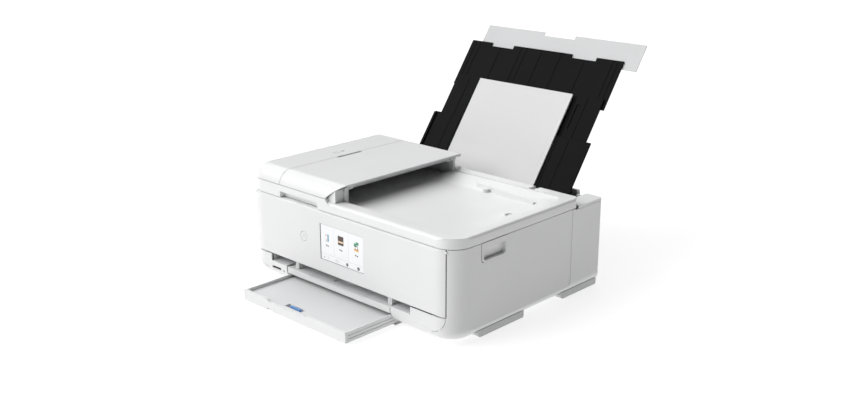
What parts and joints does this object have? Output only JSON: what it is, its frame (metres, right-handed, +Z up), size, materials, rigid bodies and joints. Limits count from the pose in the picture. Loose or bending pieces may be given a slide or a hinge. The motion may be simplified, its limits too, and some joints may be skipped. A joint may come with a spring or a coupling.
{
  "type": "inkjet printer",
  "caption": "Desktop inkjet printer with flatbed scanner, document feeder, tilting touch panel, front paper cassette and raised telescopic rear paper tray.",
  "frame": {"origin": "on the table under the middle of the printer's body, at the centre of the middle foot pad", "axes": "+X to the printer's right seen from the front, -Y out of the front, +Z up"},
  "size_m": [0.468, 0.61, 0.3749],
  "materials": {
    "white_shell": "fine satin grain",
    "white_lid": "fine satin grain",
    "light_grey_plastic": "satin",
    "panel_white": "semi gloss",
    "screen_glass": "glossy",
    "scanner_glass": "polished",
    "dark_plastic": "satin",
    "black_tray": "fine textured",
    "clear_tray": "translucent frosted",
    "blue_lever": "satin",
    "rubber": "matte",
    "roller_rubber": "matte",
    "steel": "zinc plated",
    "gear_plastic": "acetal",
    "circuit_board": "solder mask",
    "paper": "plain",
    "foam": "white foam"
  },
  "bodies": {
    "chassis": {"base_frame": "light_grey_plastic", "rubber_feet": "rubber", "left_side_cover": "white_shell", "right_side_cover": "white_shell", "front_left_cover": "white_shell", "front_right_cover": "white_shell", "card_reader": "dark_plastic", "rear_cover": "white_shell", "rear_access_cover": "light_grey_plastic", "cover_screws": "steel", "rear_top_cover": "white_lid", "outlet_frame": "light_grey_plastic", "steel_frame": "steel", "platen": "dark_plastic", "drive_belt": "rubber", "power_supply": "dark_plastic", "main_board": "circuit_board", "purge_unit": "dark_plastic"},
    "line_feed": {"line_feed_roller": "roller_rubber"},
    "idler": {"idler_gear": "gear_plastic"},
    "eject": {"eject_roller": "roller_rubber"},
    "rear_pick": {"rear_pick_roller": "roller_rubber"},
    "carriage": {"ink_carriage": "dark_plastic", "ink_tanks": "black_tray"},
    "drive_pulley": {"drive_pulley": "gear_plastic"},
    "idler_pulley": {"idler_pulley": "gear_plastic"},
    "panel": {"operation_panel": "panel_white", "touch_screen": "screen_glass", "panel_back": "dark_plastic"},
    "power_button": {"power_button": "panel_white"},
    "output_tray": {"output_tray": "white_shell"},
    "output_tray_extension": {"output_tray_extension": "light_grey_plastic"},
    "cassette": {"cassette_body": "dark_plastic"},
    "cassette_front": {"cassette_extension": "white_shell", "cassette_cover": "light_grey_plastic"},
    "lock_lever": {"lock_lever": "blue_lever"},
    "cassette_guide_left": {"cassette_guide_left": "dark_plastic"},
    "cassette_guide_right": {"cassette_guide_right": "dark_plastic"},
    "guide_pinion": {"guide_pinion": "gear_plastic"},
    "cassette_end_guide": {"cassette_end_guide": "dark_plastic"},
    "scanner": {"scanner_frame": "white_shell", "scanner_glass": "scanner_glass"},
    "scan_carriage": {"scan_carriage": "dark_plastic"},
    "document_cover": {"document_cover": "white_lid", "pressure_pad": "foam", "inlet_ramp": "light_grey_plastic"},
    "feeder_cover": {"feeder_cover": "white_lid"},
    "document_tray": {"document_tray": "white_lid"},
    "document_guide_front": {"document_guide_front": "light_grey_plastic"},
    "document_guide_rear": {"document_guide_rear": "light_grey_plastic"},
    "feeder_drive": {"feeder_drive_roller": "roller_rubber"},
    "feeder_pick": {"feeder_pick_roller": "roller_rubber"},
    "feeder_exit": {"feeder_exit_roller": "roller_rubber"},
    "support_lower": {"rear_support_lower": "black_tray"},
    "support_middle": {"rear_support_middle": "black_tray"},
    "support_top": {"rear_support_top": "black_tray"},
    "support_extension": {"rear_support_extension": "clear_tray"},
    "paper": {"paper_stack": "paper"},
    "rear_guide_left": {"rear_guide_left": "black_tray"},
    "rear_guide_right": {"rear_guide_right": "black_tray"}
  },
  "joints": [
    {"name": "line_feed_spin", "type": "hinge", "parent": "chassis", "child": "line_feed", "pos_m": [0, 0.008, 0.047], "axis": [1, 0, 0], "continuous": true},
    {"name": "idler_spin", "type": "hinge", "parent": "chassis", "child": "idler", "pos_m": [-0.182, -0.034, 0.047], "axis": [1, 0, 0], "continuous": true},
    {"name": "eject_spin", "type": "hinge", "parent": "chassis", "child": "eject", "pos_m": [0, -0.072, 0.047], "axis": [1, 0, 0], "continuous": true},
    {"name": "rear_pick_spin", "type": "hinge", "parent": "chassis", "child": "rear_pick", "pos_m": [0, 0.0966, 0.0887], "axis": [1, 0, 0], "continuous": true},
    {"name": "carriage_travel", "type": "slide", "parent": "chassis", "child": "carriage", "axis": [1, 0, 0], "range_m": [-0.275, 0]},
    {"name": "drive_pulley_spin", "type": "hinge", "parent": "chassis", "child": "drive_pulley", "pos_m": [0.1965, 0.054, 0.102], "axis": [0, 0, 1], "range_deg": [-2640, 10]},
    {"name": "idler_pulley_spin", "type": "hinge", "parent": "chassis", "child": "idler_pulley", "pos_m": [-0.188, 0.054, 0.102], "axis": [0, 0, 1], "range_deg": [-2640, 10]},
    {"name": "panel_tilt", "type": "hinge", "parent": "chassis", "child": "panel", "pos_m": [0, -0.179, 0.1454], "axis": [-1, 0, 0], "range_deg": [0, 45]},
    {"name": "power_button_press", "type": "slide", "parent": "panel", "child": "power_button", "axis": [0, 1, 0], "range_m": [0, 0.001], "stiffness_N_per_m": 400},
    {"name": "output_tray_slide", "type": "slide", "parent": "chassis", "child": "output_tray", "axis": [0, -1, 0], "range_m": [0, 0.12]},
    {"name": "output_extension_slide", "type": "slide", "parent": "output_tray", "child": "output_tray_extension", "axis": [0, -1, 0], "range_m": [0, 0.085]},
    {"name": "cassette_slide", "type": "slide", "parent": "chassis", "child": "cassette", "axis": [0, -1, 0], "range_m": [0, 0.2]},
    {"name": "cassette_extension_slide", "type": "slide", "parent": "cassette", "child": "cassette_front", "axis": [0, -1, 0], "range_m": [-0.09, 0]},
    {"name": "lock_lever_slide", "type": "slide", "parent": "cassette_front", "child": "lock_lever", "axis": [0, 1, 0], "range_m": [0, 0.0025], "stiffness_N_per_m": 200},
    {"name": "cassette_guides_slide", "type": "slide", "parent": "cassette", "child": "cassette_guide_left", "axis": [1, 0, 0], "range_m": [0, 0.03]},
    {"name": "cassette_guide_right_slide", "type": "slide", "parent": "cassette", "child": "cassette_guide_right", "axis": [-1, 0, 0], "range_m": [0, 0.03]},
    {"name": "guide_pinion_spin", "type": "hinge", "parent": "cassette", "child": "guide_pinion", "pos_m": [-0.014, -0.04, 0.01], "axis": [0, 0, 1], "range_deg": [-250, 10]},
    {"name": "cassette_end_guide_slide", "type": "slide", "parent": "cassette", "child": "cassette_end_guide", "axis": [0, -1, 0], "range_m": [0, 0.07]},
    {"name": "scanner_lift", "type": "hinge", "parent": "chassis", "child": "scanner", "pos_m": [0, 0.106, 0.143], "axis": [-1, 0, 0], "range_deg": [0, 18]},
    {"name": "scan_travel", "type": "slide", "parent": "scanner", "child": "scan_carriage", "axis": [1, 0, 0], "range_m": [0, 0.31]},
    {"name": "document_cover_lift", "type": "hinge", "parent": "scanner", "child": "document_cover", "pos_m": [0, 0.1095, 0.158], "axis": [-1, 0, 0], "range_deg": [0, 60]},
    {"name": "feeder_cover_open", "type": "hinge", "parent": "document_cover", "child": "feeder_cover", "pos_m": [-0.2326, 0, 0.1729], "axis": [0, 1, 0], "range_deg": [-70, 0]},
    {"name": "document_tray_open", "type": "hinge", "parent": "document_cover", "child": "document_tray", "pos_m": [-0.0135, 0, 0.1875], "axis": [0, -1, 0], "range_deg": [-145, 0]},
    {"name": "document_guides_slide", "type": "slide", "parent": "document_cover", "child": "document_guide_front", "axis": [0, 1, 0], "range_m": [0, 0.06]},
    {"name": "document_guide_rear_slide", "type": "slide", "parent": "document_cover", "child": "document_guide_rear", "axis": [0, -1, 0], "range_m": [0, 0.06]},
    {"name": "feeder_drive_spin", "type": "hinge", "parent": "document_cover", "child": "feeder_drive", "pos_m": [-0.186, 0, 0.178], "axis": [0, 1, 0], "continuous": true},
    {"name": "feeder_pick_spin", "type": "hinge", "parent": "document_cover", "child": "feeder_pick", "pos_m": [-0.1572, 0, 0.1805], "axis": [0, 1, 0], "continuous": true},
    {"name": "feeder_exit_spin", "type": "hinge", "parent": "document_cover", "child": "feeder_exit", "pos_m": [-0.166, 0, 0.1636], "axis": [0, 1, 0], "continuous": true},
    {"name": "support_lower_slide", "type": "slide", "parent": "chassis", "child": "support_lower", "axis": [0, 0.5878, 0.809], "range_m": [-0.08, 0]},
    {"name": "support_middle_slide", "type": "slide", "parent": "support_lower", "child": "support_middle", "axis": [0, 0.5878, 0.809], "range_m": [-0.085, 0]},
    {"name": "support_top_slide", "type": "slide", "parent": "support_middle", "child": "support_top", "axis": [0, 0.5878, 0.809], "range_m": [-0.07, 0]},
    {"name": "support_extension_slide", "type": "slide", "parent": "support_top", "child": "support_extension", "axis": [0, 0.5878, 0.809], "range_m": [-0.055, 0]},
    {"name": "paper_slide", "type": "slide", "parent": "chassis", "child": "paper", "axis": [0, 0.5878, 0.809], "range_m": [0, 0.12]},
    {"name": "rear_guides_slide", "type": "slide", "parent": "chassis", "child": "rear_guide_left", "axis": [-1, 0, 0], "range_m": [0, 0.045]},
    {"name": "rear_guide_right_slide", "type": "slide", "parent": "chassis", "child": "rear_guide_right", "axis": [1, 0, 0], "range_m": [0, 0.045]}
  ],
  "couplings": [
    {"joint": "idler_spin", "follows": "line_feed_spin", "ratio": -0.90909},
    {"joint": "eject_spin", "follows": "line_feed_spin", "ratio": 1.25},
    {"joint": "drive_pulley_spin", "follows": "carriage_travel", "rad_per_m": 166.67},
    {"joint": "idler_pulley_spin", "follows": "carriage_travel", "rad_per_m": 166.67},
    {"joint": "cassette_guide_right_slide", "follows": "cassette_guides_slide", "ratio": 1},
    {"joint": "guide_pinion_spin", "follows": "cassette_guides_slide", "rad_per_m": -142.86},
    {"joint": "document_guide_rear_slide", "follows": "document_guides_slide", "ratio": 1},
    {"joint": "feeder_pick_spin", "follows": "feeder_drive_spin", "ratio": 1.5},
    {"joint": "feeder_exit_spin", "follows": "feeder_drive_spin", "ratio": -2},
    {"joint": "rear_guide_right_slide", "follows": "rear_guides_slide", "ratio": 1}
  ]
}
